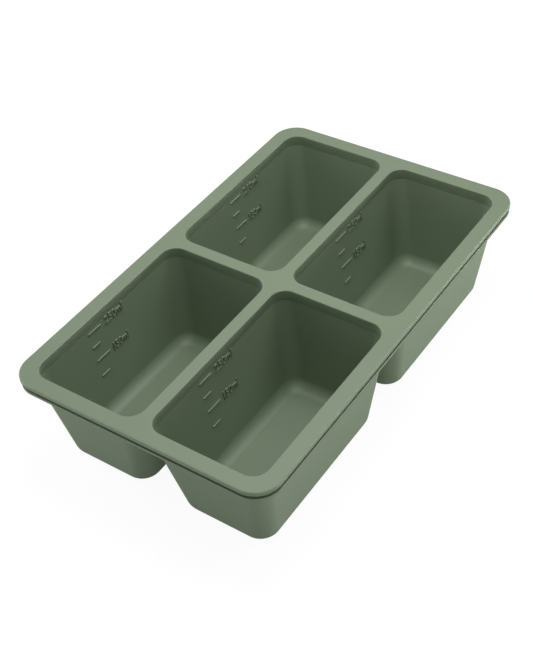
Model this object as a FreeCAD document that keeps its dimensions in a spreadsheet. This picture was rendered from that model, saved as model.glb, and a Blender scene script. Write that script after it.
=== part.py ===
import FreeCAD, Part
import math
import os
import Sketcher

# Freezer tray for baby food: four drafted cups in two rows of two.
# Origin: middle of the tray on the surface it stands on. X is the long way, Z is up.

SIZES = [
    ("opening_length", 107.4, "mouth of one cup, the long way"),
    ("opening_width", 61.2, "mouth of one cup, across"),
    ("opening_radius", 8.2, "rounded corner of a mouth, and every round inside a cup"),
    ("rim_margin_end", 8.2, "rim face outside the mouths, at the two short ends"),
    ("rim_margin_side", 8.3, "rim face outside the mouths, along the two long sides"),
    ("web_long", 6.9, "web between mouths that follow each other the long way"),
    ("web_cross", 6.5, "web between mouths that lie side by side"),
    ("rim_radius", 13.2, "outer corner of the rim"),
    ("tray_height", 57.5, "standing surface to the top of the rim"),
    ("frame_thickness", 2.1, "upper rim layer"),
    ("groove_height", 1.3, "open groove in the rim's edge"),
    ("groove_depth", 1.3, "how far the groove goes in from the lip"),
    ("lip_thickness", 2.3, "flange under the groove"),
    ("lip_inset", 0.35, "how far the lip stays behind the upper layer"),
    ("collar_depth", 6.0, "collar in a mouth, from the top of the rim down"),
    ("collar_thickness", 0.9, "wall of the collar"),
    ("seat_clearance", 0.15, "gap beside and under a collar, and round the wire"),
    ("wall_thickness", 2.0, "cup wall"),
    ("floor_thickness", 1.7, "cup floor"),
    ("draft_end", 8.3, "how far a cup draws in at its outer end"),
    ("draft_side", 6.9, "how far a cup draws in at its outer side"),
    ("draft_web_end", 7.8, "how far it draws in at the long web"),
    ("draft_web_side", 8.9, "how far it draws in at the cross web"),
    ("cup_radius", 9.7, "upright outer corner of a cup"),
    ("base_fillet", 5.0, "round between wall and base, outside"),
    ("edge_round", 0.7, "round along the rim's upper outer edge"),
    ("mouth_bevel", 0.5, "bevel round each mouth"),
    ("wire_breadth", 2.6, "flat steel wire in the rim, as it lies"),
    ("wire_thickness", 1.2, "the same wire, top to bottom"),
]

# Places and lengths worked out from the sizes.
PLACES = [
    ("cup_x", "=(Sizes.web_long + Sizes.opening_length) / 2"),
    ("cup_y", "=(Sizes.web_cross + Sizes.opening_width) / 2"),
    ("near_x", "=Sizes.web_long / 2"),
    ("near_y", "=Sizes.web_cross / 2"),
    ("far_x", "=near_x + Sizes.opening_length"),
    ("far_y", "=near_y + Sizes.opening_width"),
    ("rim_length", "=2 * (far_x + Sizes.rim_margin_end)"),
    ("rim_width", "=2 * (far_y + Sizes.rim_margin_side)"),
    ("joint_z", "=Sizes.tray_height - Sizes.frame_thickness"),
    ("lip_top_z", "=joint_z - Sizes.groove_height"),
    ("flange_z", "=lip_top_z - Sizes.lip_thickness"),
    ("collar_z", "=Sizes.tray_height - Sizes.collar_depth"),
    ("rebate_z", "=collar_z - Sizes.seat_clearance"),
    ("collar_growth", "=2 * Sizes.collar_thickness"),
    ("rebate_growth", "=collar_growth + 2 * Sizes.seat_clearance"),
    ("land_inset", "=Sizes.lip_inset + Sizes.groove_depth"),
    ("wire_inset_end", "=(land_inset + Sizes.rim_margin_end - rebate_growth / 2) / 2"),
    ("wire_inset_side", "=(land_inset + Sizes.rim_margin_side - rebate_growth / 2) / 2"),
    ("wire_length", "=rim_length - 2 * wire_inset_end"),
    ("wire_width", "=rim_width - 2 * wire_inset_side"),
    ("wire_corner", "=Sizes.rim_radius - wire_inset_end"),
    ("channel_breadth", "=Sizes.wire_breadth + 2 * Sizes.seat_clearance"),
    ("channel_depth", "=Sizes.wire_thickness + 2 * Sizes.seat_clearance"),
    ("wire_z", "=joint_z - channel_depth + Sizes.seat_clearance"),
]

POINT = {"start": 1, "end": 2, "middle": 3}  # how a constraint names a point of a line or arc
ORIGIN = -1  # and how it names the sketch's own origin
BASE_SHARE = 0.95  # a base round may take this much of the upright corner it runs into
SAME = 1e-4  # heights this close are one height
QUARTERS = [(1, 1), (1, -1), (-1, 1), (-1, -1)]  # the side of X and of Y that each cup is on

doc = FreeCAD.newDocument("freezer_tray")


def fill_sheet(name, rows):
    sheet = doc.addObject("Spreadsheet::Sheet", name)
    for number, row in enumerate(rows, start=1):
        sheet.set("A%d" % number, row[0])
        sheet.set("B%d" % number, str(row[1]))
        sheet.setAlias("B%d" % number, row[0])
        if len(row) > 2:
            sheet.set("C%d" % number, row[2])
    doc.recompute()


def new_body(label):
    body = doc.addObject("PartDesign::Body", label)
    body.Label = label
    return body


def origin_plane(body, role):
    return [feature for feature in body.Origin.OriginFeatures if feature.Role == role][0]


def new_sketch(body, name, plane):
    sketch = body.newObject("Sketcher::SketchObject", name)
    sketch.AttachmentSupport = [(origin_plane(body, plane), "")]
    sketch.MapMode = "FlatFace"
    return sketch


def bind(sketch, constraint, name, expression):
    index = sketch.addConstraint(constraint)
    sketch.renameConstraint(index, name)
    sketch.setExpression("Constraints." + name, expression)


# Draws a rounded rectangle round the sketch's own origin.
def draw_rounded(sketch, name, length, width, radius):
    half_x = sketch.evalExpression(length) / 2
    half_y = sketch.evalExpression(width) / 2
    corner = sketch.evalExpression(radius)
    flat_x = half_x - corner
    flat_y = half_y - corner
    first_side = sketch.GeometryCount
    first_arc = first_side + 4
    sides = [
        (-flat_x, -half_y, flat_x, -half_y),
        (half_x, -flat_y, half_x, flat_y),
        (flat_x, half_y, -flat_x, half_y),
        (-half_x, flat_y, -half_x, -flat_y),
    ]
    for x0, y0, x1, y1 in sides:
        sketch.addGeometry(Part.LineSegment(FreeCAD.Vector(x0, y0, 0), FreeCAD.Vector(x1, y1, 0)))
    middles = [(flat_x, -flat_y), (flat_x, flat_y), (-flat_x, flat_y), (-flat_x, -flat_y)]
    for number, (x, y) in enumerate(middles):
        circle = Part.Circle(FreeCAD.Vector(x, y, 0), FreeCAD.Vector(0, 0, 1), corner)
        turn = (number - 1) * math.pi / 2
        sketch.addGeometry(Part.ArcOfCircle(circle, turn, turn + math.pi / 2))
    for number in range(4):
        side = first_side + number
        next_side = first_side + (number + 1) % 4
        arc = first_arc + number
        sketch.addConstraint(Sketcher.Constraint("Tangent", side, POINT["end"], arc, POINT["start"]))
        sketch.addConstraint(Sketcher.Constraint("Tangent", arc, POINT["end"], next_side, POINT["start"]))
        sketch.addConstraint(Sketcher.Constraint(["Horizontal", "Vertical"][number % 2], side))
        if number > 0:
            sketch.addConstraint(Sketcher.Constraint("Equal", first_arc, arc))
    sketch.addConstraint(Sketcher.Constraint(
        "Symmetric", first_arc, POINT["middle"], first_arc + 2, POINT["middle"], ORIGIN, POINT["start"]))
    across = Sketcher.Constraint(
        "DistanceX", first_side + 3, POINT["start"], first_side + 1, POINT["start"], 2 * half_x)
    bind(sketch, across, name + "_length", length)
    upward = Sketcher.Constraint(
        "DistanceY", first_side, POINT["start"], first_side + 2, POINT["start"], 2 * half_y)
    bind(sketch, upward, name + "_width", width)
    bind(sketch, Sketcher.Constraint("Radius", first_arc, corner), name + "_corner", radius)


# A level rounded rectangle with its middle at the given place.
def rounded_outline(body, name, length, width, radius, height, middle_x="0", middle_y="0"):
    sketch = new_sketch(body, name, "XY_Plane")
    sketch.setExpression("AttachmentOffset.Base.x", middle_x)
    sketch.setExpression("AttachmentOffset.Base.y", middle_y)
    sketch.setExpression("AttachmentOffset.Base.z", height)
    draw_rounded(sketch, "outline", length, width, radius)
    return sketch


# A flat ring that follows the wire's middle line round the rim.
def ring_outline(body, name, breadth, height):
    sketch = new_sketch(body, name, "XY_Plane")
    sketch.setExpression("AttachmentOffset.Base.z", height)
    for loop, sign in (("outer", "+"), ("inner", "-")):
        draw_rounded(
            sketch, loop, "Places.wire_length %s %s" % (sign, breadth),
            "Places.wire_width %s %s" % (sign, breadth), "Places.wire_corner %s %s / 2" % (sign, breadth))
    return sketch


def pad_up(body, name, outline, length):
    feature = body.newObject("PartDesign::Pad", name)
    feature.Profile = outline
    feature.setExpression("Length", length)
    doc.recompute()
    return feature


def pocket_down(body, name, outline, depth):
    before = body.Shape.Volume
    feature = body.newObject("PartDesign::Pocket", name)
    feature.Profile = outline
    feature.setExpression("Length", depth)
    doc.recompute()
    if body.Shape.Volume >= before:
        raise RuntimeError("%s cut nothing" % name)
    return feature


# A block with four drafted walls at the cup on the positive sides. Its upper outline is the mouth,
# let out by the growth, and each wall leans by its own draft.
def drafted_block(body, kind, name, growth, bottom, top):
    block = body.newObject("PartDesign::" + kind, name)
    block.AttachmentSupport = [(origin_plane(body, "XZ_Plane"), "")]
    block.MapMode = "FlatFace"
    upper = {
        "X2min": "Places.near_x - %s" % growth,
        "X2max": "Places.far_x + %s" % growth,
        "Z2min": "-Places.far_y - %s" % growth,
        "Z2max": "-Places.near_y + %s" % growth,
    }
    lower = {
        "Xmin": upper["X2min"] + " + Sizes.draft_web_end",
        "Xmax": upper["X2max"] + " - Sizes.draft_end",
        "Zmin": upper["Z2min"] + " + Sizes.draft_side",
        "Zmax": upper["Z2max"] + " - Sizes.draft_web_side",
    }
    heights = {"Ymin": bottom, "Ymax": top}
    for corner, expression in {**upper, **lower, **heights}.items():
        block.setExpression(corner, expression)
    doc.recompute()
    return block


# The same feature at all four cups: as drawn, and mirrored over both middle planes.
def at_all_cups(body, name, feature):
    pattern = body.newObject("PartDesign::MultiTransform", name)
    mirrors = []
    for role in ("YZ_Plane", "XZ_Plane"):
        mirror = body.newObject("PartDesign::Mirrored", name + "_over_" + role[:2].lower())
        mirror.MirrorPlane = (origin_plane(body, role), [""])
        mirrors.append(mirror)
    pattern.Originals = [feature]
    pattern.Transformations = mirrors
    body.Tip = pattern
    doc.recompute()


# The body's edges that start at one height and end at another, or lie flat at one. With a side
# given for X and Y, only those at the cup on those sides.
def edges_between(body, low, high, side_x=0, side_y=0):
    bottom = body.evalExpression(low)
    top = body.evalExpression(high)
    names = []
    for number, edge in enumerate(body.Shape.Edges, start=1):
        box = edge.BoundBox
        fits = abs(box.ZMin - bottom) < SAME and abs(box.ZMax - top) < SAME
        if fits and box.Center.x * side_x >= 0 and box.Center.y * side_y >= 0:
            names.append("Edge%d" % number)
    return names


# The edges of the rim's top face: its own outline, or those of the mouths.
def top_edges(body, outside):
    reach_x = body.evalExpression("Places.far_x") + SAME
    reach_y = body.evalExpression("Places.far_y") + SAME
    names = []
    for name in edges_between(body, "Sizes.tray_height", "Sizes.tray_height"):
        middle = body.Shape.getElement(name).BoundBox.Center
        beyond = abs(middle.x) > reach_x or abs(middle.y) > reach_y
        if beyond == outside:
            names.append(name)
    return names


# A round or a bevel along the given edges of the body as it is so far.
def dress_edges(body, kind, name, edges, setting, expression):
    base = body.Tip
    feature = body.newObject("PartDesign::" + kind, name)
    feature.Base = (base, edges)
    feature.setExpression(setting, expression)
    doc.recompute()


def round_over(body, name, edges, radius):
    dress_edges(body, "Fillet", name, edges, "Radius", radius)


def make_cup_tray():
    body = new_body("cup_tray")
    flange = rounded_outline(
        body, "flange_outline", "Places.rim_length - 2 * Sizes.lip_inset",
        "Places.rim_width - 2 * Sizes.lip_inset", "Sizes.rim_radius - Sizes.lip_inset",
        "Places.flange_z")
    pad_up(body, "flange", flange, "Sizes.lip_thickness")
    land = rounded_outline(
        body, "land_outline", "Places.rim_length - 2 * Places.land_inset",
        "Places.rim_width - 2 * Places.land_inset", "Sizes.rim_radius - Places.land_inset",
        "Places.lip_top_z")
    pad_up(body, "land", land, "Sizes.groove_height")

    cup = drafted_block(body, "AdditiveWedge", "cup", "Sizes.wall_thickness", "0", "Places.flange_z")
    at_all_cups(body, "cups", cup)
    cavity = drafted_block(
        body, "SubtractiveWedge", "cavity", "0", "Sizes.floor_thickness", "Places.collar_z")
    at_all_cups(body, "cavities", cavity)
    for number, (side_x, side_y) in enumerate(QUARTERS, start=1):
        inner_edges = edges_between(body, "Sizes.floor_thickness", "Sizes.floor_thickness", side_x, side_y)
        inner_edges += edges_between(body, "Sizes.floor_thickness", "Places.collar_z", side_x, side_y)
        round_over(body, "cavity_rounds_%d" % number, inner_edges, "Sizes.opening_radius")
    rebate = rounded_outline(
        body, "rebate_outline", "Sizes.opening_length + Places.rebate_growth",
        "Sizes.opening_width + Places.rebate_growth",
        "Sizes.opening_radius + Places.rebate_growth / 2",
        "Places.joint_z", "Places.cup_x", "Places.cup_y")
    at_all_cups(body, "rebates",
                pocket_down(body, "rebate", rebate, "Places.joint_z - Places.rebate_z"))
    round_over(body, "cup_corners", edges_between(body, "0", "Places.flange_z"), "Sizes.cup_radius")
    round_over(body, "base_rounds", edges_between(body, "0", "0"),
               "min(Sizes.base_fillet; %g * Sizes.cup_radius)" % BASE_SHARE)

    channel = ring_outline(body, "channel_outline", "Places.channel_breadth", "Places.joint_z")
    pocket_down(body, "wire_channel", channel, "Places.channel_depth")
    return body


def make_rim_frame():
    body = new_body("rim_frame")
    plate = rounded_outline(body, "plate_outline", "Places.rim_length", "Places.rim_width",
                            "Sizes.rim_radius", "Places.joint_z")
    pad_up(body, "plate", plate, "Sizes.frame_thickness")
    collar = rounded_outline(
        body, "collar_outline", "Sizes.opening_length + Places.collar_growth",
        "Sizes.opening_width + Places.collar_growth",
        "Sizes.opening_radius + Sizes.collar_thickness",
        "Places.collar_z", "Places.cup_x", "Places.cup_y")
    at_all_cups(body, "collars",
                pad_up(body, "collar", collar, "Sizes.collar_depth - Sizes.frame_thickness"))
    mouth = rounded_outline(
        body, "mouth_outline", "Sizes.opening_length", "Sizes.opening_width",
        "Sizes.opening_radius", "Sizes.tray_height", "Places.cup_x", "Places.cup_y")
    at_all_cups(body, "mouths", pocket_down(body, "mouth", mouth, "Sizes.collar_depth"))
    round_over(body, "outer_round", top_edges(body, outside=True), "Sizes.edge_round")
    dress_edges(body, "Chamfer", "mouth_bevels", top_edges(body, outside=False),
                "Size", "Sizes.mouth_bevel")
    return body


def make_rim_wire():
    body = new_body("rim_wire")
    ring = ring_outline(body, "wire_outline", "Sizes.wire_breadth", "Places.wire_z")
    pad_up(body, "wire", ring, "Sizes.wire_thickness")
    return body


def check_and_write(pieces):
    for thing in doc.Objects:
        if "Invalid" in thing.State or "Error" in thing.State:
            raise RuntimeError("%s failed" % thing.Name)
    for piece in pieces:
        shape = piece.Shape
        if shape.isNull() or not shape.isValid() or len(shape.Solids) != 1:
            raise RuntimeError("%s is not one sound solid" % piece.Label)
    os.makedirs("parts", exist_ok=True)
    for piece in pieces:
        piece.Shape.exportStep("parts/%s.step" % piece.Label)
        print("%s: %.0f mm3" % (piece.Label, piece.Shape.Volume))


fill_sheet("Sizes", SIZES)
fill_sheet("Places", PLACES)
bodies = [make_cup_tray(), make_rim_frame(), make_rim_wire()]
check_and_write(bodies)
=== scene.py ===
import math
import bmesh
import bpy
from mathutils import Matrix, Vector


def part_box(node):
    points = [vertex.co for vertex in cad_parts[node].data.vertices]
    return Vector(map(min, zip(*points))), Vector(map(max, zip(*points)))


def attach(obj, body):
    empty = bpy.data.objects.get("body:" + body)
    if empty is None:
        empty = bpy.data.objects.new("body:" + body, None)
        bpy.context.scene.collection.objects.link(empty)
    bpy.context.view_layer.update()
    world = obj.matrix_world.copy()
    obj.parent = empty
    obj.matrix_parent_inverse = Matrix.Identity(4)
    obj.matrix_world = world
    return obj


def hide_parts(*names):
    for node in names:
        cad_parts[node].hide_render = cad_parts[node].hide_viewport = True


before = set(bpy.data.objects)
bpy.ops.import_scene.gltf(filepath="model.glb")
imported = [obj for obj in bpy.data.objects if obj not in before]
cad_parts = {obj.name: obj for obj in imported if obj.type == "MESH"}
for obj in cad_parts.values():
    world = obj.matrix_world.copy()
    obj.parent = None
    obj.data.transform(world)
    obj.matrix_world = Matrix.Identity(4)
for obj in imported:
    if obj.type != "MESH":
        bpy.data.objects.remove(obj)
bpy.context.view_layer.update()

print("frame loaded")

mm = 0.001

# the view of the photograph: angles in degrees, the camera's place in millimetres, its focal length
# in pixels of a picture frameHeight tall, and the nearest and farthest it sees in metres
cameraView = {
    "azimuth": -51.826,
    "elevation": 43.111,
    "roll": -5.792,
    "distance": 638.85,
    "asideRight": -9.992,
    "asideUp": 15.783,
    "focalPixels": 1210.71,
    "frameHeight": 666,
    "sensor": 36.0,
    "clip": (0.01, 20),
}


def placeCamera(view):
    turn, tilt, roll = (math.radians(view[k]) for k in ("azimuth", "elevation", "roll"))
    back = Vector((math.sin(turn) * math.cos(tilt),
                   -math.cos(turn) * math.cos(tilt),
                   math.sin(tilt)))
    right = Vector((0, 0, 1)).cross(back).normalized()
    up = back.cross(right)
    rolledRight = right * math.cos(roll) + up * math.sin(roll)
    rolledUp = up * math.cos(roll) - right * math.sin(roll)
    place = back * view["distance"] + rolledRight * view["asideRight"] + rolledUp * view["asideUp"]
    data = bpy.data.cameras.new("camera")
    data.sensor_width = view["sensor"]
    data.lens = view["focalPixels"] * view["sensor"] / view["frameHeight"]
    data.clip_start, data.clip_end = view["clip"]
    camera = bpy.data.objects.new("camera", data)
    bpy.context.scene.collection.objects.link(camera)
    axes = Matrix((rolledRight, rolledUp, back)).transposed().to_4x4()
    camera.matrix_world = Matrix.Translation(place * mm) @ axes
    bpy.context.scene.camera = camera


placeCamera(cameraView)
print("camera placed")

# for the modelling steps that every piece shares. Lengths are in millimetres until a piece is
# finished; sharpBend is in radians, mergeWithin in metres and smoothBelow in degrees
modelling = {
    "touching": 0.01,
    "uprightShare": 0.9,
    "sharpBend": 0.5,
    "overrun": 1,
    "mergeWithin": 2e-6,
    "smoothBelow": 33,
}


def startFresh():
    bpy.ops.object.select_all(action="DESELECT")


def takeUp(piece):
    startFresh()
    bpy.context.view_layer.objects.active = piece
    piece.select_set(True)


def applyStep(piece, name, kind, settings):
    takeUp(piece)
    step = piece.modifiers.new(name, kind)
    for key, setting in settings.items():
        setattr(step, key, setting)
    bpy.ops.object.modifier_apply(modifier=step.name)


def applyPlace():
    bpy.ops.object.transform_apply(location=True, rotation=True, scale=True)


def backToObject():
    bpy.ops.object.mode_set(mode="OBJECT")


def addBlock(name, low, high):
    startFresh()
    middle = [(a + b) / 2 for a, b in zip(low, high)]
    bpy.ops.mesh.primitive_cube_add(size=1, location=middle)
    block = bpy.context.object
    block.name = name
    block.scale = [b - a for a, b in zip(low, high)]
    applyPlace()
    return block


def selectIn(piece, kind, wanted):
    takeUp(piece)
    bpy.ops.object.mode_set(mode="EDIT")
    bpy.ops.mesh.select_mode(type=kind)
    bpy.ops.mesh.select_all(action="DESELECT")
    mesh = bmesh.from_edit_mesh(piece.data)
    for thing in {"VERT": mesh.verts, "EDGE": mesh.edges}[kind]:
        thing.select_set(wanted(thing))
    bmesh.update_edit_mesh(piece.data)


def near(a, b):
    return abs(a - b) < modelling["touching"]


def isUpright(edge):
    a, b = (v.co for v in edge.verts)
    return abs(a.z - b.z) > modelling["uprightShare"] * (a - b).length


def isLevelAt(z):
    def test(edge):
        if not all(near(v.co.z, z) for v in edge.verts) or len(edge.link_faces) != 2:
            return False
        return edge.calc_face_angle() > modelling["sharpBend"]
    return test


def roundEdges(piece, wanted, radius, steps):
    selectIn(piece, "EDGE", wanted)
    bpy.ops.mesh.bevel(offset=radius, segments=steps, profile=0.5, affect="EDGES",
                       clamp_overlap=False)
    backToObject()


def roundedBlock(name, sides, corner, low, high, middle=(0, 0)):
    corners = [[m + sign * side / 2 for m, side in zip(middle, sides)] for sign in (-1, 1)]
    block = addBlock(name, (*corners[0], low), (*corners[1], high))
    roundEdges(block, isUpright, *corner)
    return block


def combine(piece, other, operation):
    applyStep(piece, operation.lower(), "BOOLEAN",
              {"operation": operation, "solver": "EXACT", "object": other})
    bpy.data.objects.remove(other)


def toAllCups(piece):
    applyStep(piece, "four", "MIRROR", {"use_axis": (True, True, False), "use_mirror_merge": False})


def finishPiece(piece, material, replaced=()):
    takeUp(piece)
    piece.scale = (mm, mm, mm)
    applyPlace()
    bpy.ops.object.mode_set(mode="EDIT")
    bpy.ops.mesh.select_all(action="SELECT")
    bpy.ops.mesh.remove_doubles(threshold=modelling["mergeWithin"])
    bpy.ops.mesh.normals_make_consistent(inside=False)
    backToObject()
    bpy.ops.object.shade_smooth_by_angle(angle=math.radians(modelling["smoothBelow"]))
    applyStep(piece, "evenNormals", "WEIGHTED_NORMAL", {"keep_sharp": True})
    piece.data.materials.clear()
    piece.data.materials.append(material)
    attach(piece, "root")
    if replaced:
        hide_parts(*replaced)
    print("made", piece.name, len(piece.data.polygons), "faces")


# what both mouldings are drawn from, in millimetres; the height comes from the frame
tray = {
    "mouth": (107.4, 61.2),
    "mouthRadius": 8.2,
    "mouthSteps": 12,
    "web": (6.9, 6.5),
    "margin": (8.2, 8.3),
    "rimRadius": 13.2,
    "rimSteps": 16,
    "layer": 2.1,
    "collarDepth": 6.0,
    "collarWall": 0.9,
}
tray["top"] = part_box("rim_frame")[1][2] / mm
tray["joint"] = tray["top"] - tray["layer"]
tray["collarEnd"] = tray["top"] - tray["collarDepth"]
tray["middle"] = [(w + m) / 2 for w, m in zip(tray["web"], tray["mouth"])]
tray["rim"] = [2 * (m + e) + w for m, e, w in zip(tray["mouth"], tray["margin"], tray["web"])]


def rimBlock(name, inset, low, high):
    sides = [side - 2 * inset for side in tray["rim"]]
    return roundedBlock(name, sides, (tray["rimRadius"] - inset, tray["rimSteps"]), low, high)


def mouthBlock(name, growth, low, high):
    sides = [side + 2 * growth for side in tray["mouth"]]
    corner = (tray["mouthRadius"] + growth, tray["mouthSteps"])
    block = roundedBlock(name, sides, corner, low, high, tray["middle"])
    toAllCups(block)
    return block


# the lower moulding, in millimetres. A draft is how far a wall leans between its top and its foot,
# along the tray and across it. A round is given by its radius and its number of steps
cupTray = {
    "groove": 2.2,
    "lip": 1.5,
    "lipInset": 0.35,
    "lipRound": (0.12, 3),
    "landInset": 1.65,
    "seam": 0.04,
    "wall": 2.0,
    "floor": 1.7,
    "outerDraft": (8.3, 6.9),
    "webDraft": (7.8, 8.9),
    "cornerRound": (9.7, 12),
    "baseRound": (5.0, 8),
    "flangeRound": (1.2, 4),
    "hollowRound": (5.6, 12),
    "wireMiddle": (229.3, 136.6),
    "wireRadius": 8.8,
    "wireSteps": 12,
    "channelBreadth": 2.9,
    "channelFloor": 53.9,
}
cupTray["lipTop"] = tray["joint"] - cupTray["groove"]
cupTray["flange"] = cupTray["lipTop"] - cupTray["lip"]


# how far from the middle planes a cup's walls stand at height z, each moved by growth away from
# the cup's middle: along x and then y, first the wall beside the web and then the outer one. The
# walls lean by their full draft between high and low
def wallLines(growth, z, low, high):
    share = (high - z) / (high - low)
    lines = []
    for axis in (0, 1):
        webSide = tray["web"][axis] / 2 - growth
        outerSide = tray["web"][axis] / 2 + tray["mouth"][axis] + growth
        lines.append((webSide + cupTray["webDraft"][axis] * share,
                      outerSide - cupTray["outerDraft"][axis] * share))
    return lines


# a block with the four leaning walls of a cup, which go on past high by extra
def leaningBlock(name, growth, low, high, extra, corner):
    top = high + extra
    lower = wallLines(growth, low, low, high)
    upper = wallLines(growth, top, low, high)
    block = addBlock(name, (upper[0][0], upper[1][0], low), (upper[0][1], upper[1][1], top))
    for axis in (0, 1):
        for side in (0, 1):
            line = upper[axis][side]
            selectIn(block, "VERT", lambda v: near(v.co.z, low) and near(v.co[axis], line))
            shift = [0, 0, 0]
            shift[axis] = lower[axis][side] - line
            bpy.ops.transform.translate(value=shift)
            backToObject()
    roundEdges(block, isUpright, *corner)
    return block


def wireBlock(name, growth, low, high):
    sides = [side + growth for side in cupTray["wireMiddle"]]
    corner = (cupTray["wireRadius"] + growth / 2, cupTray["wireSteps"])
    return roundedBlock(name, sides, corner, low, high)


def makeWireChannel():
    breadth, floor = cupTray["channelBreadth"], cupTray["channelFloor"]
    overrun = modelling["overrun"]
    top = tray["joint"] + overrun
    channel = wireBlock("channel", breadth, floor, top)
    island = wireBlock("island", -breadth, floor - overrun, top)
    combine(channel, island, "DIFFERENCE")
    return channel


def makeCupTray():
    size, overrun = cupTray, modelling["overrun"]
    joint, collarEnd = tray["joint"], tray["collarEnd"]
    body = rimBlock("cup_tray_skin", size["lipInset"], size["flange"], size["lipTop"])
    for z in (size["lipTop"], size["flange"]):
        roundEdges(body, isLevelAt(z), *size["lipRound"])
    combine(body, rimBlock("land", size["landInset"], size["lipTop"] - overrun, joint), "UNION")
    cups = leaningBlock("cups", size["wall"], 0, size["flange"], overrun, size["cornerRound"])
    roundEdges(cups, isLevelAt(0), *size["baseRound"])
    toAllCups(cups)
    combine(body, cups, "UNION")
    roundEdges(body, isLevelAt(size["flange"]), *size["flangeRound"])
    hollows = leaningBlock("hollows", 0, size["floor"], collarEnd, 0,
                           (tray["mouthRadius"], tray["mouthSteps"]))
    roundEdges(hollows, isLevelAt(size["floor"]), *size["hollowRound"])
    toAllCups(hollows)
    combine(body, hollows, "DIFFERENCE")
    rebates = mouthBlock("rebates", tray["collarWall"] + size["seam"],
                         collarEnd - size["seam"], joint + overrun)
    combine(body, rebates, "DIFFERENCE")
    combine(body, makeWireChannel(), "DIFFERENCE")
    return body


# the rounds of the upper layer: its outer edge above and below, its mouths, and its collars' ends
rimFrame = {
    "topRound": (0.7, 5),
    "underRound": (0.1, 3),
    "mouthRound": (0.5, 4),
    "collarRound": (0.15, 2),
}


def makeRimFrame():
    top, joint, collarEnd = tray["top"], tray["joint"], tray["collarEnd"]
    overrun = modelling["overrun"]
    body = rimBlock("rim_frame_skin", 0, joint, top)
    roundEdges(body, isLevelAt(top), *rimFrame["topRound"])
    roundEdges(body, isLevelAt(joint), *rimFrame["underRound"])
    collars = mouthBlock("collars", tray["collarWall"], collarEnd, joint + overrun / 2)
    combine(body, collars, "UNION")
    combine(body, mouthBlock("mouths", 0, collarEnd - overrun, top + overrun), "DIFFERENCE")
    roundEdges(body, isLevelAt(top), *rimFrame["mouthRound"])
    roundEdges(body, isLevelAt(collarEnd), *rimFrame["collarRound"])
    return body


# millilitre marks on each cup's inner wall that faces the near side, in millimetres.
# Each row: depth below the rim, start beside the cup's middle line, length, and a figure's words
# and width. Each cup: its name and the signs of its place along x and y
marks = {
    "rows": (
        (7.9, -15.5, 9.6, ("250ml", 13.8)),
        (16.3, -15.6, 6.0, None),
        (24.6, -15.5, 9.8, ("150ml", 11.6)),
        (34.1, -15.6, 6.0, None),
    ),
    "farCupsShift": 5.9,
    "proud": 0.65,
    "sunk": 0.35,
    "barBreadth": 0.95,
    "barEnd": (0.304, 3),
    "barEdge": (0.4, 4),
    "figureGap": 2.8,
    "figureHeight": 4.6,
    "figureBold": -0.08,
    "figureEdge": 0.3,
    "figureEdgeSteps": 2,
    "figureCurveSteps": 4,
    "fontSize": 5.8,
    "cups": (("front", -1, -1), ("left", -1, 1), ("right", 1, -1), ("top", 1, 1)),
}


def addBar(start, length, height):
    half, proud = marks["barBreadth"] / 2, marks["proud"]
    bar = addBlock("bar", (start, height - half, -marks["sunk"]),
                   (start + length, height + half, proud))
    roundEdges(bar, isUpright, *marks["barEnd"])
    roundEdges(bar, isLevelAt(proud), *marks["barEdge"])
    return bar


def addFigure(words, width, start, height):
    startFresh()
    bpy.ops.object.text_add()
    figure = bpy.context.object
    text = figure.data
    text.body = words
    text.size = marks["fontSize"]
    text.offset = marks["figureBold"]
    text.extrude = (marks["proud"] + marks["sunk"]) / 2 - marks["figureEdge"]
    text.bevel_depth = marks["figureEdge"]
    text.bevel_resolution = marks["figureEdgeSteps"]
    text.resolution_u = marks["figureCurveSteps"]
    bpy.ops.object.convert(target="MESH")
    low = [min(v.co[axis] for v in figure.data.vertices) for axis in (0, 1)]
    high = [max(v.co[axis] for v in figure.data.vertices) for axis in (0, 1)]
    stretch = (width / (high[0] - low[0]), marks["figureHeight"] / (high[1] - low[1]), 1)
    figure.scale = stretch
    figure.location = (start - low[0] * stretch[0],
                       height - (low[1] + high[1]) / 2 * stretch[1],
                       (marks["proud"] - marks["sunk"]) / 2)
    applyPlace()
    return figure


# the marks are laid out flat, x along the wall and y up it, and then stood against the wall
def makeMarks(name, sideX, sideY, material):
    low, high = cupTray["floor"], tray["collarEnd"]
    outer = 1 if sideY > 0 else 0
    foot, head = (wallLines(0, z, low, high)[1][outer] * sideY for z in (low, high))
    lean = (head - foot) / (high - low)
    slope = math.hypot(1, lean)
    shift = marks["farCupsShift"] if sideX > 0 else 0
    pieces = []
    for depth, start, length, figure in marks["rows"]:
        height = (tray["top"] - depth - low) * slope
        pieces.append(addBar(start + shift, length, height))
        if figure:
            after = start + shift + length + marks["figureGap"]
            pieces.append(addFigure(*figure, after, height))
    takeUp(pieces[0])
    for piece in pieces:
        piece.select_set(True)
    bpy.ops.object.join()
    joined = bpy.context.object
    joined.name = "volume_marks_" + name
    along = Vector((1, 0, 0))
    up = Vector((0, lean, 1)).normalized()
    axes = Matrix((along, up, along.cross(up))).transposed().to_4x4()
    place = Vector((sideX * tray["middle"][0], foot, low))
    joined.matrix_world = Matrix.Translation(place) @ axes
    applyPlace()
    finishPiece(joined, material)


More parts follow.
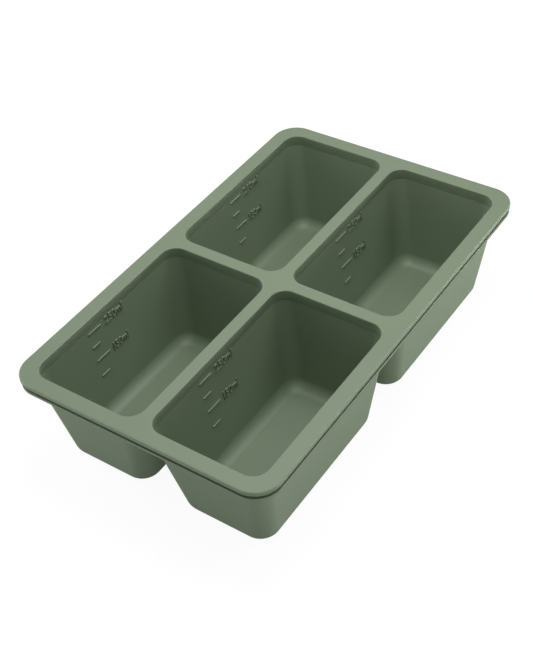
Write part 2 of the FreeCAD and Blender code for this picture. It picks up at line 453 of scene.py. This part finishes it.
# shader maths: an expression on these values adds the Math nodes it needs
class Value:
    def __init__(self, graph, socket):
        self.graph, self.socket = graph, socket

    def maths(self, operation, other):
        return self.graph.add("ShaderNodeMath", {"operation": operation}, {0: self, 1: other})

    def __add__(self, other):
        return self.maths("ADD", other)

    def __mul__(self, other):
        return self.maths("MULTIPLY", other)

    def __sub__(self, other):
        return self.maths("SUBTRACT", other)

    def __rsub__(self, other):
        return (self * -1) + other

    __radd__ = __add__

    def clamped(self):
        return self.maths("MAXIMUM", 0.0).maths("MINIMUM", 1.0)

    def stretched(self, gain, shift):
        return (self * gain + shift).clamped()

    # runs from low to high as this value runs from 0 to 1
    def between(self, low, high):
        return low + self.clamped() * (high - low)


class Graph:
    def __init__(self, tree):
        self.tree = tree
        tree.nodes.clear()

    def add(self, kind, settings=None, inputs=None, output=0):
        node = self.tree.nodes.new(kind)
        for name, setting in (settings or {}).items():
            setattr(node, name, setting)
        for name, given in (inputs or {}).items():
            given = getattr(given, "socket", given)
            if isinstance(given, bpy.types.NodeSocket):
                self.tree.links.new(given, node.inputs[name])
            else:
                node.inputs[name].default_value = given
        return Value(self, node.outputs[output])

    # metres in the piece's own space
    def place(self):
        return self.add("ShaderNodeTexCoord", output="Object")

    def noise(self, place, scale, detail, roughness=0.5):
        return self.add("ShaderNodeTexNoise", {}, {
            "Vector": place, "Scale": scale, "Detail": detail, "Roughness": roughness})

    # inputs 0, 6 and 7 and output 2 are the node's own numbers for its colour sockets
    def mixColour(self, share, first, second):
        return self.add("ShaderNodeMix", {"data_type": "RGBA"}, {0: share, 6: first, 7: second}, 2)

    def bump(self, height, strength, distance):
        return self.add("ShaderNodeBump", {}, {
            "Strength": strength, "Distance": distance, "Height": height})

    def finish(self, shader, output="ShaderNodeOutputMaterial"):
        end = self.tree.nodes.new(output)
        self.tree.links.new(shader.socket, end.inputs["Surface"])


def newMaterial(name):
    material = bpy.data.materials.new(name)
    material.use_nodes = True
    return material, Graph(material.node_tree)


# a noise is given by its scale, detail and roughness, and a mix by its gain and shift
siliconeFinish = {
    "colour": (0.205, 0.262, 0.175, 1),
    "pale": (0.225, 0.282, 0.196, 1),
    "deep": (0.187, 0.243, 0.159, 1),
    "clouds": (38, 3, 0.5),
    "grain": (2600, 2, 0.5),
    "dimples": (900, 4, 0.6),
    "cloudMix": (0.9, -0.1),
    "grainMix": (0.8, -0.05),
    "major": 0.6,
    "minor": 0.4,
    "roughness": (0.42, 0.54),
    "specular": 0.42,
    "bumpStrength": 0.35,
    "bumpDistance": 0.00002,
}


def siliconeMaterial():
    made, graph = newMaterial("sageSilicone")
    look = siliconeFinish
    place = graph.place()
    clouds, grain, dimples = (graph.noise(place, *look[k]) for k in ("clouds", "grain", "dimples"))
    colour = graph.mixColour(clouds.stretched(*look["cloudMix"]), look["deep"], look["pale"])
    colour = graph.mixColour(grain.stretched(*look["grainMix"]), colour, look["colour"])
    fine = dimples * look["minor"]
    shader = graph.add("ShaderNodeBsdfPrincipled", {}, {
        "Base Color": colour,
        "Roughness": (clouds * look["major"] + fine).between(*look["roughness"]),
        "Specular IOR Level": look["specular"],
        "Normal": graph.bump(grain * look["major"] + fine, look["bumpStrength"],
                             look["bumpDistance"])})
    graph.finish(shader)
    return made


steelFinish = {
    "colour": (0.62, 0.63, 0.64, 1),
    "worn": (0.52, 0.53, 0.54, 1),
    "brushing": (90, 90, 5200),
    "streaks": (1, 3),
    "patches": (60, 2),
    "roughness": (0.24, 0.42),
    "bumpStrength": 0.2,
    "bumpDistance": 0.00001,
}


def steelMaterial():
    made, graph = newMaterial("rolledSteel")
    look = steelFinish
    place = graph.place()
    drawn = graph.add("ShaderNodeMapping", {}, {"Vector": place, "Scale": look["brushing"]})
    streaks = graph.noise(drawn, *look["streaks"])
    patches = graph.noise(place, *look["patches"])
    shader = graph.add("ShaderNodeBsdfPrincipled", {}, {
        "Base Color": graph.mixColour(patches.clamped(), look["worn"], look["colour"]),
        "Roughness": streaks.between(*look["roughness"]),
        "Metallic": 1.0,
        "Normal": graph.bump(streaks, look["bumpStrength"], look["bumpDistance"])})
    graph.finish(shader)
    return made


silicone = siliconeMaterial()
finishPiece(makeCupTray(), silicone, ["cup_tray"])
finishPiece(makeRimFrame(), silicone, ["rim_frame"])
for name, sideX, sideY in marks["cups"]:
    makeMarks(name, sideX, sideY, silicone)

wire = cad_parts["rim_wire"]
wire.data.materials.clear()
wire.data.materials.append(steelMaterial())
print("materials made")

# the studio, in metres and watts. A lamp has a name, direction, distance, disc size and power.
# The floor shows whiteShare of plain white, and whiteGrowth more for each metre past whiteFrom
studio = {
    "floorSize": 6,
    "floorColour": (0.55, 0.55, 0.55, 1),
    "floorRoughness": 0.9,
    "whiteShare": 0.78,
    "whiteFrom": 0.3,
    "whiteGrowth": 0.6,
    "whiteLevel": 1.2,
    "reflectedWhite": 0.15,
    "worldLevel": 0.17,
    "lamps": (
        ("overhead", (0.08, -0.02, 1), 0.43, 0.26, 0.92),
        ("nearRight", (0.7, -0.7, 1), 1.8, 0.9, 5.0),
        ("nearLow", (0.45, -1, 0.04), 1.8, 0.2, 7.4),
        ("nearLeft", (-1, -1, 0.05), 0.9, 0.16, 1.6),
        ("farLow", (0, 1, 0.35), 1.8, 0.9, 11.0),
        ("farLeft", (-0.8, 0.5, 0.4), 0.6, 0.4, 0.12),
        ("leftSide", (-1, 1.0, 0.08), 0.45, 0.16, 0.55),
        ("rightLow", (1, -0.9, 0.08), 0.5, 0.16, 1.25),
    ),
}


# the share of white that the camera sees; mirrored light sees it too, weighted by reflected,
# and all other light sees none of it
def seenShare(graph, share, reflected=1.0):
    camera, glossy, transmission = (graph.add("ShaderNodeLightPath", output=name) for name in (
        "Is Camera Ray", "Is Glossy Ray", "Is Transmission Ray"))
    return (camera + (glossy + transmission) * reflected).clamped() * share


def makeFloor():
    startFresh()
    bpy.ops.mesh.primitive_plane_add(size=studio["floorSize"])
    floor = bpy.context.object
    floor.name = "floor"
    made, graph = newMaterial("paleFloor")
    matte = graph.add("ShaderNodeBsdfPrincipled", {}, {
        "Base Color": studio["floorColour"],
        "Roughness": studio["floorRoughness"],
        "Specular IOR Level": 0.0})
    white = graph.add("ShaderNodeEmission", {}, {"Strength": studio["whiteLevel"]})
    away = graph.add("ShaderNodeVectorMath", {"operation": "LENGTH"}, {0: graph.place()}, "Value")
    growing = (away - studio["whiteFrom"]).clamped() * studio["whiteGrowth"]
    share = seenShare(graph, (growing + studio["whiteShare"]).clamped(), studio["reflectedWhite"])
    graph.finish(graph.add("ShaderNodeMixShader", {}, {0: share, 1: matte, 2: white}))
    floor.data.materials.append(made)


def makeWorld():
    world = bpy.data.worlds.new("studio")
    bpy.context.scene.world = world
    world.use_nodes = True
    graph = Graph(world.node_tree)
    share = seenShare(graph, 1)
    level = share + (1 - share) * studio["worldLevel"]
    sky = graph.add("ShaderNodeBackground", {}, {"Color": (1, 1, 1, 1), "Strength": level})
    graph.finish(sky, "ShaderNodeOutputWorld")


def makeLamp(name, direction, distance, size, power):
    data = bpy.data.lights.new(name, "AREA")
    data.shape, data.size, data.energy = "DISK", size, power
    lamp = bpy.data.objects.new(name, data)
    lamp.visible_camera = False
    bpy.context.scene.collection.objects.link(lamp)
    aim = Vector(direction).normalized()
    lamp.location = aim * distance
    lamp.rotation_mode = "QUATERNION"
    lamp.rotation_quaternion = aim.to_track_quat("Z", "Y")


makeFloor()
makeWorld()
for lamp in studio["lamps"]:
    makeLamp(*lamp)
bpy.context.scene.view_settings.view_transform = "Standard"
print("studio made")
